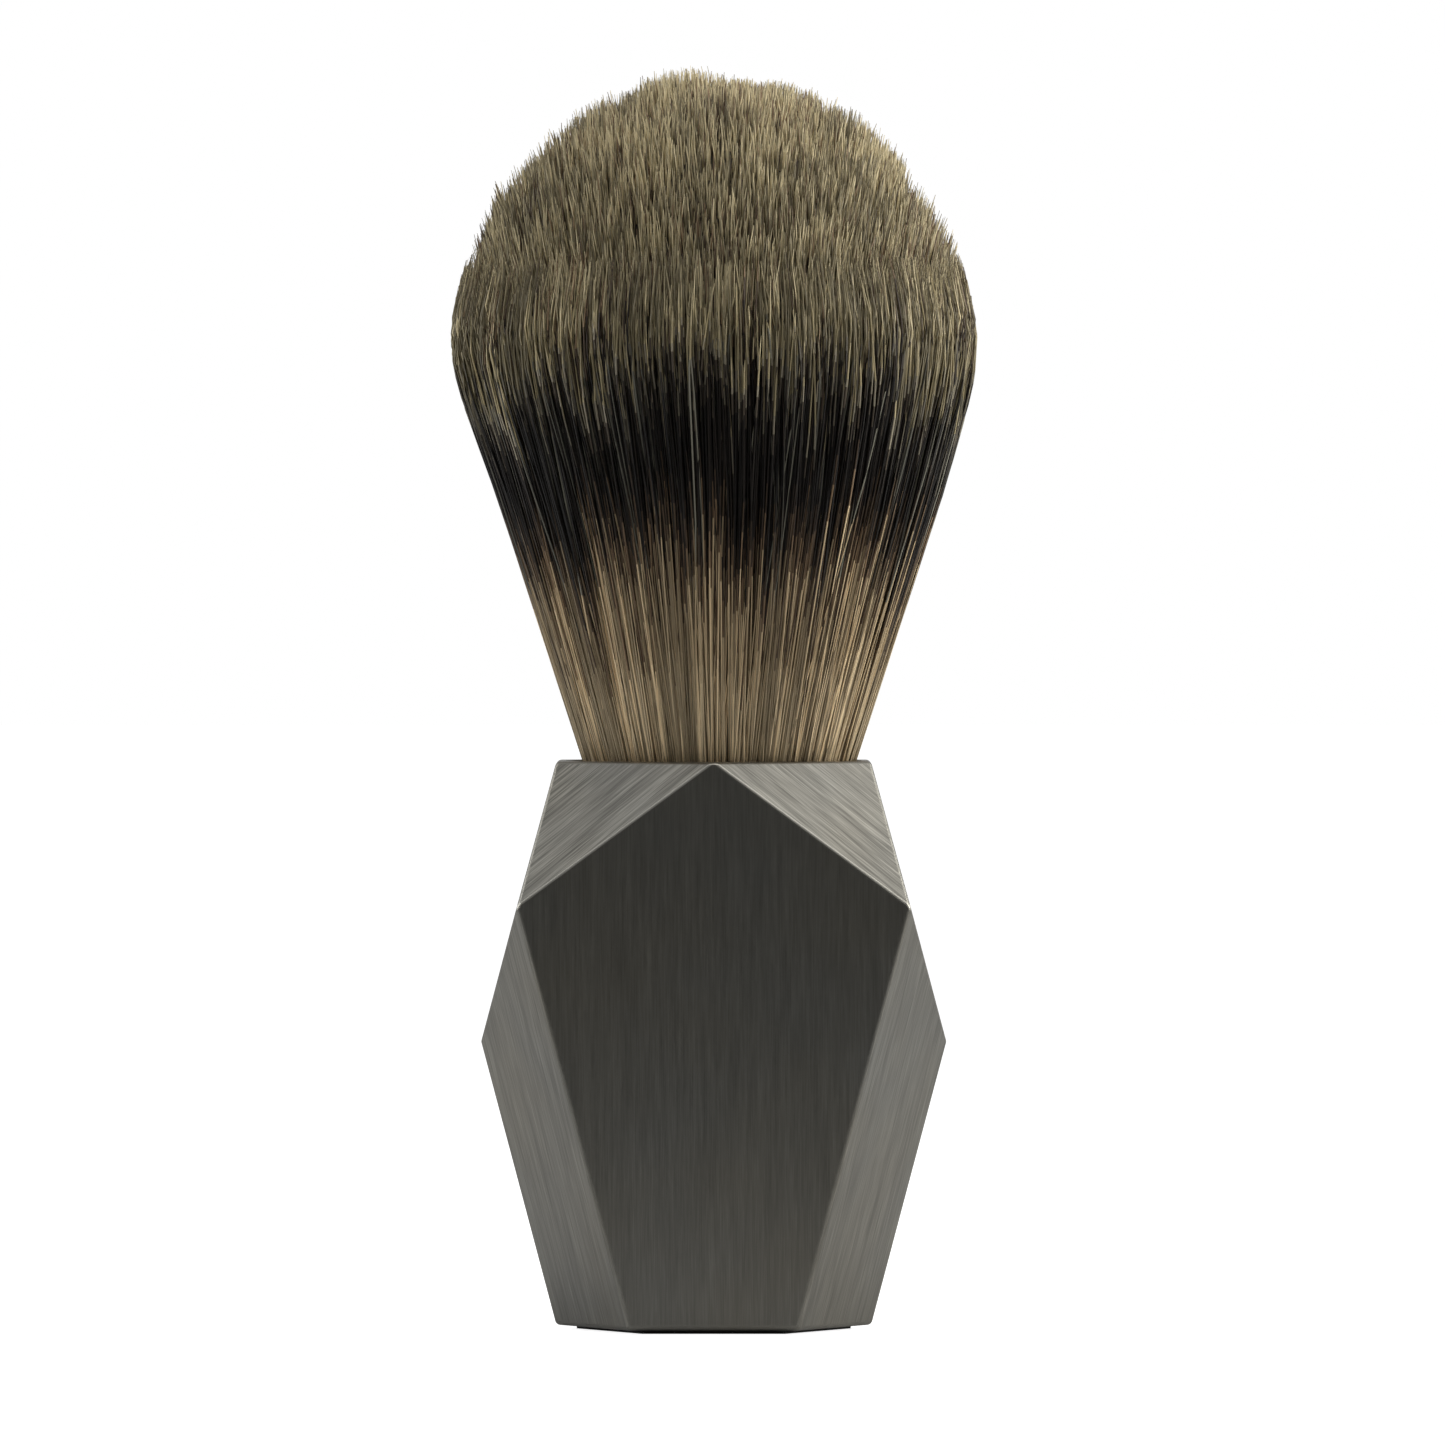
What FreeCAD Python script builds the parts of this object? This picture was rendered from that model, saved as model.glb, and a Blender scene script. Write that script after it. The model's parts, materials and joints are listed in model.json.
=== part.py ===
"""Shaving brush: a hollow faceted steel handle, its foot, and a potted hair knot that bends.

The origin is the centre of the foot pad's underside and +Z points up to the hair tips.
X is the width and Y the depth, and the brush is the same on both sides of both.
Every sub-part is drawn from its own lowest level and lifted to its place by its Placement.
"""

import FreeCAD, Part
import math
import os
import re

import Sketcher

DOC = FreeCAD.newDocument("ShavingBrush")

# Driving dimensions, in millimetres. "rise" is a height above a sub-part's own lowest level.
DRIVING = [
    # the faceted handle
    ("handle_height", 49.7),
    ("waist_rise", 24.9),
    ("waist_half", 20.5),
    ("top_half", 13.8),
    ("base_half", 13.9),
    ("front_base_half", 7.4),
    ("half_depth", 15.9),
    ("edge_break", 0.5),
    # the hollow underside and what closes it
    ("foot_proud", 0.3),
    ("recess_inset", 1.6),
    ("recess_depth", 2.6),
    ("hollow_inset", 3.4),
    ("hollow_depth", 24),
    ("boss_radius", 4.6),
    ("thread_depth", 9.5),
    ("plate_thick", 2.2),
    ("fit_gap", 0.1),
    ("pad_hole_radius", 4.4),
    # the base screw
    ("shank_radius", 1.95),
    ("shank_gap", 0.05),
    ("screw_length", 10),
    ("head_radius", 3.6),
    ("head_depth", 1.65),
    ("key_flat_half", 1.25),
    ("key_depth", 1.3),
    # the knot's cup, potting and binding
    ("socket_radius", 13.0),
    ("socket_depth", 18.6),
    ("bed_thick", 0.6),
    ("cup_radius", 12.9),
    ("cup_wall", 0.6),
    ("cup_height", 16),
    ("plug_height", 5.5),
    ("yarn_radius", 0.45),
    ("yarn_pitch", 0.8),
    ("yarn_turns", 5),
    ("potting_gap", 0.05),
    # the hair: a bloom over a waisted foot, which turns about the bend level
    ("bend_level", 54),
    ("heel_radius", 12.65),
    ("dish_gap", 0.3),
    ("bloom_level", 87.6),
    ("bloom_radius", 22.9),
]

# Sizes that follow from the driving ones, each written after those that it uses.
DERIVED = [
    ("lower_slope", "(waist_half - base_half) / waist_rise"),
    ("upper_slope", "(waist_half - top_half) / (handle_height - waist_rise)"),
    ("shoulder_rise", "(top_half + upper_slope * handle_height - front_base_half)"
                      " / (lower_slope + upper_slope)"),
    ("shoulder_half", "front_base_half + lower_slope * shoulder_rise"),
    ("shoulder_drop", "handle_height - shoulder_rise"),
    ("beyond", "3 * waist_half"),
    ("side_run", "(base_half - front_base_half) / half_depth"),
    ("side_stretch", "sqrt(1 + side_run ^ 2)"),
    ("hole_radius", "shank_radius + shank_gap"),
    ("hollow_level", "foot_proud + recess_depth"),
    ("plate_level", "hollow_level - plate_thick"),
    ("plate_inset", "recess_inset + fit_gap"),
    ("handle_top", "foot_proud + handle_height"),
    ("socket_level", "handle_top - socket_depth"),
    ("cup_level", "socket_level + bed_thick"),
    ("cup_bore", "cup_radius - cup_wall"),
    ("plug_level", "cup_level + cup_wall"),
    ("root_level", "plug_level + plug_height"),
    ("root_height", "cup_level + cup_height - root_level"),
    ("potted_radius", "cup_bore - potting_gap"),
    ("yarn_centre", "potted_radius - yarn_radius"),
    ("yarn_span", "(yarn_turns - 1) * yarn_pitch"),
    ("yarn_level", "root_level + yarn_radius + yarn_pitch"),
    ("groove_radius", "yarn_centre - yarn_radius - potting_gap"),
    ("groove_low", "yarn_level - root_level - yarn_radius - potting_gap"),
    ("groove_high", "groove_low + yarn_span + 2 * (yarn_radius + potting_gap)"),
    ("dish_radius", "heel_radius + dish_gap"),
    ("dish_centre", "bend_level - root_level"),
    ("bloom_rise", "bloom_level - bend_level"),
]

ALIASES = [alias for alias, _ in DRIVING + DERIVED]


def make_sheet():
    """The spreadsheet that drives every sub-part."""
    sheet = DOC.addObject("Spreadsheet::Sheet", "Sizes")
    for row, (alias, value) in enumerate(DRIVING + DERIVED, start=1):
        sheet.set("A%d" % row, alias)
        sheet.setAlias("B%d" % row, alias)
        sheet.set("B%d" % row, "=" + value if isinstance(value, str) else str(value))
    DOC.recompute()
    return sheet


SHEET = make_sheet()


def size(expression):
    """The present value of an expression of the sheet's names."""
    return float(SHEET.evalExpression(expression))


def bind(thing, place, expression):
    """Drives a property, or a constraint, from the sheet."""
    def from_sheet(word):
        return "Sizes." + word[0] if word[0] in ALIASES else word[0]

    thing.setExpression(place, re.sub(r"[a-z_]+", from_sheet, expression))


def new_body(name, level):
    """An empty sub-part whose lowest drawing plane stands at a level of the brush."""
    body = DOC.addObject("PartDesign::Body", name)
    body.Label = name
    bind(body, "Placement.Base.z", level)
    return body


def origin_plane(body, role):
    """One of a body's own three base planes."""
    return next(part for part in body.Origin.OriginFeatures if part.Role == role)


def new_sketch(body, name, role, rise="0"):
    """A sketch on a body's base plane, or above it by a rise."""
    sketch = body.newObject("Sketcher::SketchObject", name)
    sketch.AttachmentSupport = [(origin_plane(body, role), "")]
    sketch.MapMode = "FlatFace"
    if rise != "0":
        bind(sketch, "AttachmentOffset.Base.z", rise)
    DOC.recompute()
    return sketch


def pin(sketch, edge, end, across, up):
    """Holds a point of a sketch's edge at two expressions, or on an axis where one is 0."""
    for kind, axis, expression in (("DistanceX", -2, across), ("DistanceY", -1, up)):
        if expression == "0":
            sketch.addConstraint(Sketcher.Constraint("PointOnObject", edge, end, axis))
            continue
        if expression.startswith("-"):
            ends = (edge, end, -1, 1)
            expression = expression[1:]
        else:
            ends = (-1, 1, edge, end)
        number = sketch.addConstraint(Sketcher.Constraint(kind, *ends, size(expression)))
        bind(sketch, "Constraints[%d]" % number, expression)


def draw_outline(sketch, points):
    """A closed outline of straight edges through points given as pairs of expressions."""
    first = sketch.GeometryCount
    places = [FreeCAD.Vector(size(across), size(up), 0) for across, up in points]
    count = len(points)
    for number in range(count):
        sketch.addGeometry(Part.LineSegment(places[number], places[(number + 1) % count]))
    for number in range(count):
        after = first + (number + 1) % count
        sketch.addConstraint(Sketcher.Constraint("Coincident", first + number, 2, after, 1))
        pin(sketch, first + number, 1, *points[number])


def draw_circle(sketch, radius, across="0", up="0"):
    """A circle whose radius and centre are expressions."""
    centre = FreeCAD.Vector(size(across), size(up), 0)
    circle = Part.Circle(centre, FreeCAD.Vector(0, 0, 1), size(radius))
    edge = sketch.addGeometry(circle)
    pin(sketch, edge, 3, across, up)
    number = sketch.addConstraint(Sketcher.Constraint("Radius", edge, size(radius)))
    bind(sketch, "Constraints[%d]" % number, radius)


def draw_arc(sketch, radius, up, start, finish):
    """An arc centred on the sketch's upright axis, from one angle to another in degrees."""
    circle = Part.Circle(FreeCAD.Vector(0, size(up), 0), FreeCAD.Vector(0, 0, 1), size(radius))
    arc = Part.ArcOfCircle(circle, math.radians(start), math.radians(finish))
    edge = sketch.addGeometry(arc)
    pin(sketch, edge, 3, "0", up)
    number = sketch.addConstraint(Sketcher.Constraint("Radius", edge, size(radius)))
    bind(sketch, "Constraints[%d]" % number, radius)
    return edge


def add_pad(body, name, sketch, length, midplane=False):
    """Material raised from a sketch."""
    pad = body.newObject("PartDesign::Pad", name)
    pad.Profile = sketch
    pad.Midplane = midplane
    bind(pad, "Length", length)
    DOC.recompute()
    return pad


def add_pocket(body, name, sketch, depth, upward, slant=None):
    """Material cut away from a sketch, straight or along a slant of run per unit of height."""
    before = body.Shape.Volume
    pocket = body.newObject("PartDesign::Pocket", name)
    pocket.Profile = sketch
    pocket.Reversed = upward
    bind(pocket, "Length", depth)
    if slant:
        pocket.UseCustomVector = True
        pocket.AlongSketchNormal = True
        pocket.Reversed = False
        pocket.Direction = FreeCAD.Vector(size(slant), 0, 1 if upward else -1)
        bind(pocket, "Direction.x", slant)
    DOC.recompute()
    if body.Shape.Volume > before - 0.01:
        raise RuntimeError("%s cuts nothing" % name)
    return pocket


def add_turned(body, name, kind, sketch):
    """A Revolution or a Groove, a full turn about the sketch's upright axis."""
    turned = body.newObject("PartDesign::" + kind, name)
    turned.Profile = sketch
    turned.ReferenceAxis = (sketch, ["V_Axis"])
    turned.Angle = 360
    DOC.recompute()
    return turned


def mirror_both_ways(body, name, feature):
    """Repeats a cut in all four quarters of the plan."""
    mirrors = []
    for role in ("YZ_Plane", "XZ_Plane"):
        mirror = body.newObject("PartDesign::Mirrored", name + "_" + role[:2])
        mirror.MirrorPlane = (origin_plane(body, role), [""])
        mirrors.append(mirror)
    quarters = body.newObject("PartDesign::MultiTransform", name)
    quarters.Originals = [feature]
    quarters.Transformations = mirrors
    body.Tip = quarters
    DOC.recompute()
    return quarters


def base_hexagon(inset):
    """The handle's base outline, moved inwards by an expression."""
    side = "base_half - (%s) * side_stretch" % inset
    front = "half_depth - (%s)" % inset
    corner = "(%s) - side_run * (%s)" % (side, front)
    side, corner, front = ("(%s)" % text for text in (side, corner, front))
    return [
        (side, "0"), (corner, front), ("-" + corner, front),
        ("-" + side, "0"), ("-" + corner, "-" + front), (corner, "-" + front),
    ]


def make_handle():
    """The steel handle: an upright hexagonal bar whose corners are planed into ten facets."""
    body = new_body("handle_body", "foot_proud")

    face = new_sketch(body, "handle_face", "XZ_Plane")
    draw_outline(face, [
        ("base_half", "0"), ("waist_half", "waist_rise"), ("top_half", "handle_height"),
        ("-top_half", "handle_height"), ("-waist_half", "waist_rise"), ("-base_half", "0"),
    ])
    add_pad(body, "handle_bar", face, "2 * half_depth", midplane=True)

    # Each long lower facet runs parallel to the handle's lower side edge.
    low = new_sketch(body, "lower_corner", "XY_Plane")
    draw_outline(low, [
        ("base_half", "0"), ("front_base_half", "half_depth"), ("front_base_half", "beyond"),
        ("beyond", "beyond"), ("beyond", "0"),
    ])
    cut = add_pocket(body, "lower_cut", low, "handle_height", upward=True, slant="lower_slope")
    mirror_both_ways(body, "lower_facets", cut)

    # Each upper facet runs from the middle of the top's front edge to the shoulder.
    high = new_sketch(body, "upper_corner", "XY_Plane", rise="handle_height")
    draw_outline(high, [
        ("0", "half_depth"), ("2 * top_half", "0"), ("beyond", "0"),
        ("beyond", "beyond"), ("0", "beyond"),
    ])
    slant = "shoulder_half / shoulder_drop"
    cut = add_pocket(body, "upper_cut", high, "waist_rise", upward=False, slant=slant)
    mirror_both_ways(body, "upper_facets", cut)

    break_edges(body)

    recess = new_sketch(body, "recess_outline", "XY_Plane")
    draw_outline(recess, base_hexagon("recess_inset"))
    add_pocket(body, "base_recess", recess, "recess_depth", upward=True)

    hollow = new_sketch(body, "hollow_outline", "XY_Plane", rise="recess_depth")
    draw_outline(hollow, base_hexagon("hollow_inset"))
    draw_circle(hollow, "boss_radius")
    add_pocket(body, "hollow", hollow, "hollow_depth", upward=True)

    thread = new_sketch(body, "thread_circle", "XY_Plane", rise="recess_depth")
    draw_circle(thread, "hole_radius")
    add_pocket(body, "screw_hole", thread, "thread_depth", upward=True)

    socket = new_sketch(body, "socket_circle", "XY_Plane", rise="handle_height")
    draw_circle(socket, "socket_radius")
    add_pocket(body, "knot_socket", socket, "socket_depth", upward=False)
    return body


def break_edges(body):
    """Rounds every edge between two facets of the solid handle."""
    facets = body.Tip
    rounding = body.newObject("PartDesign::Fillet", "broken_edges")
    edges = ["Edge%d" % (number + 1) for number in range(len(facets.Shape.Edges))]
    rounding.Base = (facets, edges)
    bind(rounding, "Radius", "edge_break")
    DOC.recompute()


def make_plate():
    """The plate that closes the hollow, countersunk for its screw."""
    body = new_body("base_plate", "plate_level")
    outline = new_sketch(body, "plate_outline", "XY_Plane")
    draw_outline(outline, base_hexagon("plate_inset"))
    add_pad(body, "plate_slab", outline, "plate_thick")
    sink = new_sketch(body, "countersink", "XZ_Plane")
    draw_outline(sink, [
        ("0", "0"), ("head_radius + fit_gap", "0"),
        ("hole_radius", "head_radius + fit_gap - hole_radius"),
        ("hole_radius", "2 * plate_thick"), ("0", "2 * plate_thick"),
    ])
    add_turned(body, "screw_seat", "Groove", sink)
    return body


def make_screw():
    """The countersunk base screw, with a hexagon key socket in its head."""
    body = new_body("base_screw", "plate_level + fit_gap / 2")
    profile = new_sketch(body, "screw_profile", "XZ_Plane")
    draw_outline(profile, [
        ("0", "0"), ("head_radius", "0"), ("shank_radius", "head_radius - shank_radius"),
        ("shank_radius", "screw_length"), ("0", "screw_length"),
    ])
    add_turned(body, "screw_blank", "Revolution", profile)
    key = new_sketch(body, "key_outline", "XY_Plane")
    across = "(key_flat_half / sqrt(3))"
    draw_outline(key, [
        (across, "key_flat_half"), ("-" + across, "key_flat_half"), ("-(2 * %s)" % across, "0"),
        ("-" + across, "-key_flat_half"), (across, "-key_flat_half"), ("2 * " + across, "0"),
    ])
    add_pocket(body, "key_socket", key, "key_depth", upward=True)
    return body


def make_pad():
    """The rubber foot, a little proud of the steel and open round the screw."""
    body = new_body("base_pad", "0")
    outline = new_sketch(body, "pad_outline", "XY_Plane")
    draw_outline(outline, base_hexagon("plate_inset"))
    draw_circle(outline, "pad_hole_radius")
    add_pad(body, "pad_sheet", outline, "plate_level")
    return body


def make_disc(name, level, radius, height):
    """A plain round layer of the potting."""
    body = new_body(name, level)
    circle = new_sketch(body, name + "_circle", "XY_Plane")
    draw_circle(circle, radius)
    add_pad(body, name + "_layer", circle, height)
    return body


def make_cup():
    """The thin cup that the knot is potted in."""
    body = new_body("knot_cup", "cup_level")
    wall = new_sketch(body, "cup_profile", "XZ_Plane")
    draw_outline(wall, [
        ("0", "0"), ("cup_radius", "0"), ("cup_radius", "cup_height"),
        ("cup_bore", "cup_height"), ("cup_bore", "cup_wall"), ("0", "cup_wall"),
    ])
    add_turned(body, "cup_shell", "Revolution", wall)
    return body


def make_yarn():
    """The turns of yarn that bind the hair above the potting."""
    body = new_body("binding_yarn", "yarn_level")
    strand = new_sketch(body, "yarn_section", "XZ_Plane")
    draw_circle(strand, "yarn_radius", across="yarn_centre")
    turn = add_turned(body, "yarn_turn", "Revolution", strand)
    turns = body.newObject("PartDesign::LinearPattern", "yarn_stack")
    turns.Originals = [turn]
    turns.Direction = (strand, ["V_Axis"])
    bind(turns, "Length", "yarn_span")
    bind(turns, "Occurrences", "yarn_turns")
    body.Tip = turns
    DOC.recompute()
    return body


def make_hair_root():
    """The bound roots of the hair, dished on top so that the tuft can turn on them."""
    body = new_body("hair_root", "root_level")
    circle = new_sketch(body, "root_circle", "XY_Plane")
    draw_circle(circle, "potted_radius")
    add_pad(body, "root_bundle", circle, "root_height")
    band = new_sketch(body, "yarn_groove_profile", "XZ_Plane")
    draw_outline(band, [
        ("groove_radius", "groove_low"), ("cup_radius", "groove_low"),
        ("cup_radius", "groove_high"), ("groove_radius", "groove_high"),
    ])
    add_turned(body, "yarn_groove", "Groove", band)
    dish = new_sketch(body, "dish_profile", "XZ_Plane")
    arc = draw_arc(dish, "dish_radius", "dish_centre", -90, 90)
    axis = dish.addGeometry(Part.LineSegment(
        FreeCAD.Vector(0, size("dish_centre + dish_radius"), 0),
        FreeCAD.Vector(0, size("dish_centre - dish_radius"), 0)))
    join_ends(dish, [arc, axis])
    add_turned(body, "root_dish", "Groove", dish)
    return body


def make_tuft():
    """The free hair: a round heel and a round bloom with a straight flare tangent to both."""
    body = new_body("hair_tuft", "bend_level")
    profile = new_sketch(body, "tuft_profile", "XZ_Plane")
    flare = math.asin((size("bloom_radius") - size("heel_radius")) / size("bloom_rise"))
    turn = math.degrees(flare)

    heel = draw_arc(profile, "heel_radius", "0", -90, -turn)
    bloom = draw_arc(profile, "bloom_radius", "bloom_rise", -turn, 90)

    def on_arc(radius, rise):
        return FreeCAD.Vector(size(radius) * math.cos(flare),
                              size(rise) - size(radius) * math.sin(flare), 0)

    side = profile.addGeometry(Part.LineSegment(
        on_arc("heel_radius", "0"), on_arc("bloom_radius", "bloom_rise")))
    axis = profile.addGeometry(Part.LineSegment(
        FreeCAD.Vector(0, size("bloom_rise + bloom_radius"), 0),
        FreeCAD.Vector(0, -size("heel_radius"), 0)))
    join_ends(profile, [heel, side, bloom, axis], smooth=[(heel, side), (side, bloom)])
    add_turned(body, "tuft_form", "Revolution", profile)
    return body


def join_ends(sketch, loop, smooth=()):
    """Joins edges end to start into a loop whose last edge lies on the upright axis."""
    for edge, after in zip(loop, loop[1:] + loop[:1]):
        if (edge, after) in smooth:
            sketch.addConstraint(Sketcher.Constraint("Tangent", edge, 2, after, 1))
        else:
            sketch.addConstraint(Sketcher.Constraint("Coincident", edge, 2, after, 1))
    for end in (1, 2):
        sketch.addConstraint(Sketcher.Constraint("PointOnObject", loop[-1], end, -2))


def check_document():
    """Stops the build where any object of the document failed."""
    DOC.recompute()
    for thing in DOC.Objects:
        if "Invalid" in thing.State or "Error" in thing.State:
            raise RuntimeError("%s failed: %s" % (thing.Name, thing.State))


def write_parts(bodies):
    """Checks each sub-part's solid and writes its file."""
    for body in bodies:
        if body.Shape.isNull() or not body.Shape.isValid() or not body.Shape.Solids:
            raise RuntimeError("%s has no sound solid" % body.Label)
    os.makedirs("parts", exist_ok=True)
    for body in bodies:
        body.Shape.exportStep("parts/%s.step" % body.Label)
        print("%-14s %9.1f cubic mm" % (body.Label, body.Shape.Volume))


BODIES = [
    make_handle(),
    make_plate(),
    make_screw(),
    make_pad(),
    make_disc("knot_bed", "socket_level", "socket_radius - potting_gap", "bed_thick"),
    make_cup(),
    make_disc("root_plug", "plug_level", "potted_radius", "plug_height"),
    make_yarn(),
    make_hair_root(),
    make_tuft(),
]
check_document()
write_parts(BODIES)
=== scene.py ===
"""Shaving brush: brushed facets on the steel handle and a three-banded hair knot above it."""

import json
import math

import bmesh
import bpy
import numpy as np
from mathutils import Matrix, Vector


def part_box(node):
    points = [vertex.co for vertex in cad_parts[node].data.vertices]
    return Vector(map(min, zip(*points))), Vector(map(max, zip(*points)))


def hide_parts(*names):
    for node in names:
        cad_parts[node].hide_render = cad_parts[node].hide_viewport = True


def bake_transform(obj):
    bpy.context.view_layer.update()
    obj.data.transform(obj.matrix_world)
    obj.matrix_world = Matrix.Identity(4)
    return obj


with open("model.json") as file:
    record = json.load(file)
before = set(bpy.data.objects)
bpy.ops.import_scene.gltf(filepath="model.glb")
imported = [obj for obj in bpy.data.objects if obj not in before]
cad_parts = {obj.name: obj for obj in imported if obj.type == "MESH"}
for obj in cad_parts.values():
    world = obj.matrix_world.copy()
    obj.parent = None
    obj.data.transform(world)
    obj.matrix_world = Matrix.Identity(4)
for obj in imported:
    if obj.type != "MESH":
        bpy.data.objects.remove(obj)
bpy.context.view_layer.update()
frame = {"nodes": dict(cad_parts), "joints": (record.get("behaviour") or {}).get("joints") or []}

MM = 0.001
MICRON = 1e-6
FULL_TURN = 2 * math.pi
SEED = 24

# Where the hair goes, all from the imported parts.
_, ROOT_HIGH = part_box("hair_root")
TUFT_LOW, TUFT_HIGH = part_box("hair_tuft")
CROWN = TUFT_HIGH.z
BLOOM_RADIUS = TUFT_HIGH.x
BLOOM_LEVEL = CROWN - BLOOM_RADIUS
BEND_LEVEL = frame["joints"][0]["pos_m"][2]
HEEL_RADIUS = BEND_LEVEL - TUFT_LOW.z
FLARE = math.asin((BLOOM_RADIUS - HEEL_RADIUS) / (BLOOM_LEVEL - BEND_LEVEL))
FOOT_LEVEL = ROOT_HIGH.z - 1.5 * MM
TANGENT_LEVEL = BLOOM_LEVEL - BLOOM_RADIUS * math.sin(FLARE)
SHOULDER_CUT = 0.6 * MM


# ---------------------------------------------------------------- materials

# The colour sockets of a mix node: its two inputs and its output.
MIX_FIRST = 6
MIX_SECOND = 7
MIX_RESULT = 2


def new_material(name):
    """A node material and its Principled shader."""
    material = bpy.data.materials.new(name)
    material.use_nodes = True
    return material, material.node_tree.nodes["Principled BSDF"]


class Graph:
    """Short calls for the nodes of one material or world."""

    def __init__(self, owner):
        self.tree = owner.node_tree
        self.coordinates = self.tree.nodes.new("ShaderNodeTexCoord")

    def node(self, kind, **settings):
        node = self.tree.nodes.new("ShaderNode" + kind)
        for name, value in settings.items():
            setattr(node, name, value)
        return node

    def link(self, source, target):
        self.tree.links.new(source, target)

    def feed(self, socket, value):
        """Sets a socket to a number or a vector, or links it to another socket."""
        if isinstance(value, bpy.types.NodeSocket):
            self.link(value, socket)
        else:
            socket.default_value = value

    def maths(self, operation, *values):
        node = self.node("Math", operation=operation)
        for socket, value in zip(node.inputs, values):
            self.feed(socket, value)
        return node.outputs[0]

    def vector(self, operation, *values):
        node = self.node("VectorMath", operation=operation)
        for socket, value in zip(node.inputs, values):
            self.feed(socket, value)
        return node.outputs["Value" if operation == "DOT_PRODUCT" else "Vector"]

    def scaled(self, vector, by):
        node = self.node("VectorMath", operation="SCALE")
        self.feed(node.inputs[0], vector)
        self.feed(node.inputs["Scale"], by)
        return node.outputs["Vector"]

    def noise(self, vector, scale, detail, roughness=0.5):
        node = self.node("TexNoise")
        self.feed(node.inputs["Vector"], vector)
        node.inputs["Scale"].default_value = scale
        node.inputs["Detail"].default_value = detail
        node.inputs["Roughness"].default_value = roughness
        return node.outputs["Fac"]

    def ramp(self, factor, *stops):
        node = self.node("ValToRGB")
        self.feed(node.inputs["Fac"], factor)
        elements = node.color_ramp.elements
        while len(elements) < len(stops):
            elements.new(0.5)
        for element, (place, colour) in zip(elements, stops):
            element.position = place
            element.color = (*colour, 1)
        return node.outputs["Color"]

    def mix(self, blend, factor, first, second):
        node = self.node("Mix", data_type="RGBA", blend_type=blend)
        self.feed(node.inputs["Factor"], factor)
        self.feed(node.inputs[MIX_FIRST], first)
        self.feed(node.inputs[MIX_SECOND], second)
        return node.outputs[MIX_RESULT]

    def spread(self, factor, low, high):
        """A factor from 0 to 1 spread between two numbers."""
        node = self.node("MapRange")
        self.feed(node.inputs["Value"], factor)
        node.inputs["To Min"].default_value = low
        node.inputs["To Max"].default_value = high
        return node.outputs["Result"]

    def bump(self, height, distance, strength):
        node = self.node("Bump")
        node.inputs["Strength"].default_value = strength
        node.inputs["Distance"].default_value = distance
        self.link(height, node.inputs["Height"])
        return node.outputs["Normal"]


def tinted(tint, by):
    """A colour made darker or paler."""
    return [min(1.0, part * by) for part in tint]


# How a facet is told from its normal: how far it faces up, and how squarely front or back.
UPPER_RISE = 0.4
UPPER_FACING = 0.3
LOWER_RISE = -0.1
FRONT_FACING = 0.985
# EDGE_RISE and EDGE_FACING pick the rounded edges between the front and the upper facets, which
# get a painted highlight.
EDGE_RISE = 0.06
EDGE_FACING = 0.735

# How far the grain slants from upright on the lower and the upper facets.
LOWER_SLANT = 0.20
UPPER_SLANT = 1.15

# The belt's scratches in three widths: noise scale across the grain and along it, and detail.
HAIR_LINES = (9000.0, 260.0, 3.0)
WIDE_LINES = (3200.0, 110.0, 2.0)
BROAD_BANDS = (700.0, 55.0, 1.0)

# How much each width shows, and how much more or less on the upper and the front facets.
HAIR_LINES_SHOW = 0.75
WIDE_LINES_SHOW = 0.45
BROAD_BANDS_SHOW = 0.30
UPPER_SHOWS_MORE = 0.45
FRONT_SHOWS_LESS = 0.55

SCRATCH_DARK = 0.62
SCRATCH_PALE = 1.45
SCRATCH_DEPTH = 0.012 * MM
SCRATCH_RELIEF = 0.5
# How much paler the painted highlight on the rounded edges is than the steel.
EDGE_PAINTED_HIGHLIGHT = 2.1
DRIFT_SCALE = 60.0
COOL_STEEL = (0.97, 0.98, 1.0)
WARM_STEEL = (1.0, 0.985, 0.96)
STEEL_ROUGHNESS = (0.30, 0.44)


def facet_masks(graph):
    """Where a point is, told from its normal: front or back, upper, lower, or a rounded edge
    that gets a painted highlight.
    """
    normal = graph.node("SeparateXYZ")
    graph.link(graph.coordinates.outputs["Normal"], normal.inputs[0])
    facing = graph.maths("ABSOLUTE", normal.outputs["Y"])
    tilted = graph.maths("GREATER_THAN", normal.outputs["Z"], UPPER_RISE)
    upper = graph.maths("MULTIPLY", tilted, graph.maths("GREATER_THAN", facing, UPPER_FACING))
    lower = graph.maths("LESS_THAN", normal.outputs["Z"], LOWER_RISE)
    front = graph.maths("GREATER_THAN", facing, FRONT_FACING)
    rising = graph.maths("GREATER_THAN", normal.outputs["Z"], EDGE_RISE)
    between = graph.maths("MULTIPLY", graph.maths("GREATER_THAN", facing, EDGE_FACING),
                          graph.maths("LESS_THAN", facing, FRONT_FACING))
    return front, upper, lower, graph.maths("MULTIPLY", rising, between)


def grain_direction(graph, upper, lower):
    """The way each facet was brushed: along the long facets, aslant on the upper ones."""
    place = graph.node("SeparateXYZ")
    graph.link(graph.coordinates.outputs["Object"], place.inputs[0])
    side = graph.maths("SIGN", place.outputs["X"])
    lean = graph.maths("SUBTRACT", graph.maths("MULTIPLY", lower, LOWER_SLANT),
                       graph.maths("MULTIPLY", upper, UPPER_SLANT))
    way = graph.node("CombineXYZ")
    graph.link(graph.maths("MULTIPLY", lean, side), way.inputs["X"])
    way.inputs["Z"].default_value = 1.0
    off = graph.vector("DOT_PRODUCT", way.outputs[0], graph.coordinates.outputs["Normal"])
    lifted = graph.scaled(graph.coordinates.outputs["Normal"], off)
    return graph.vector("NORMALIZE", graph.vector("SUBTRACT", way.outputs[0], lifted))


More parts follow.
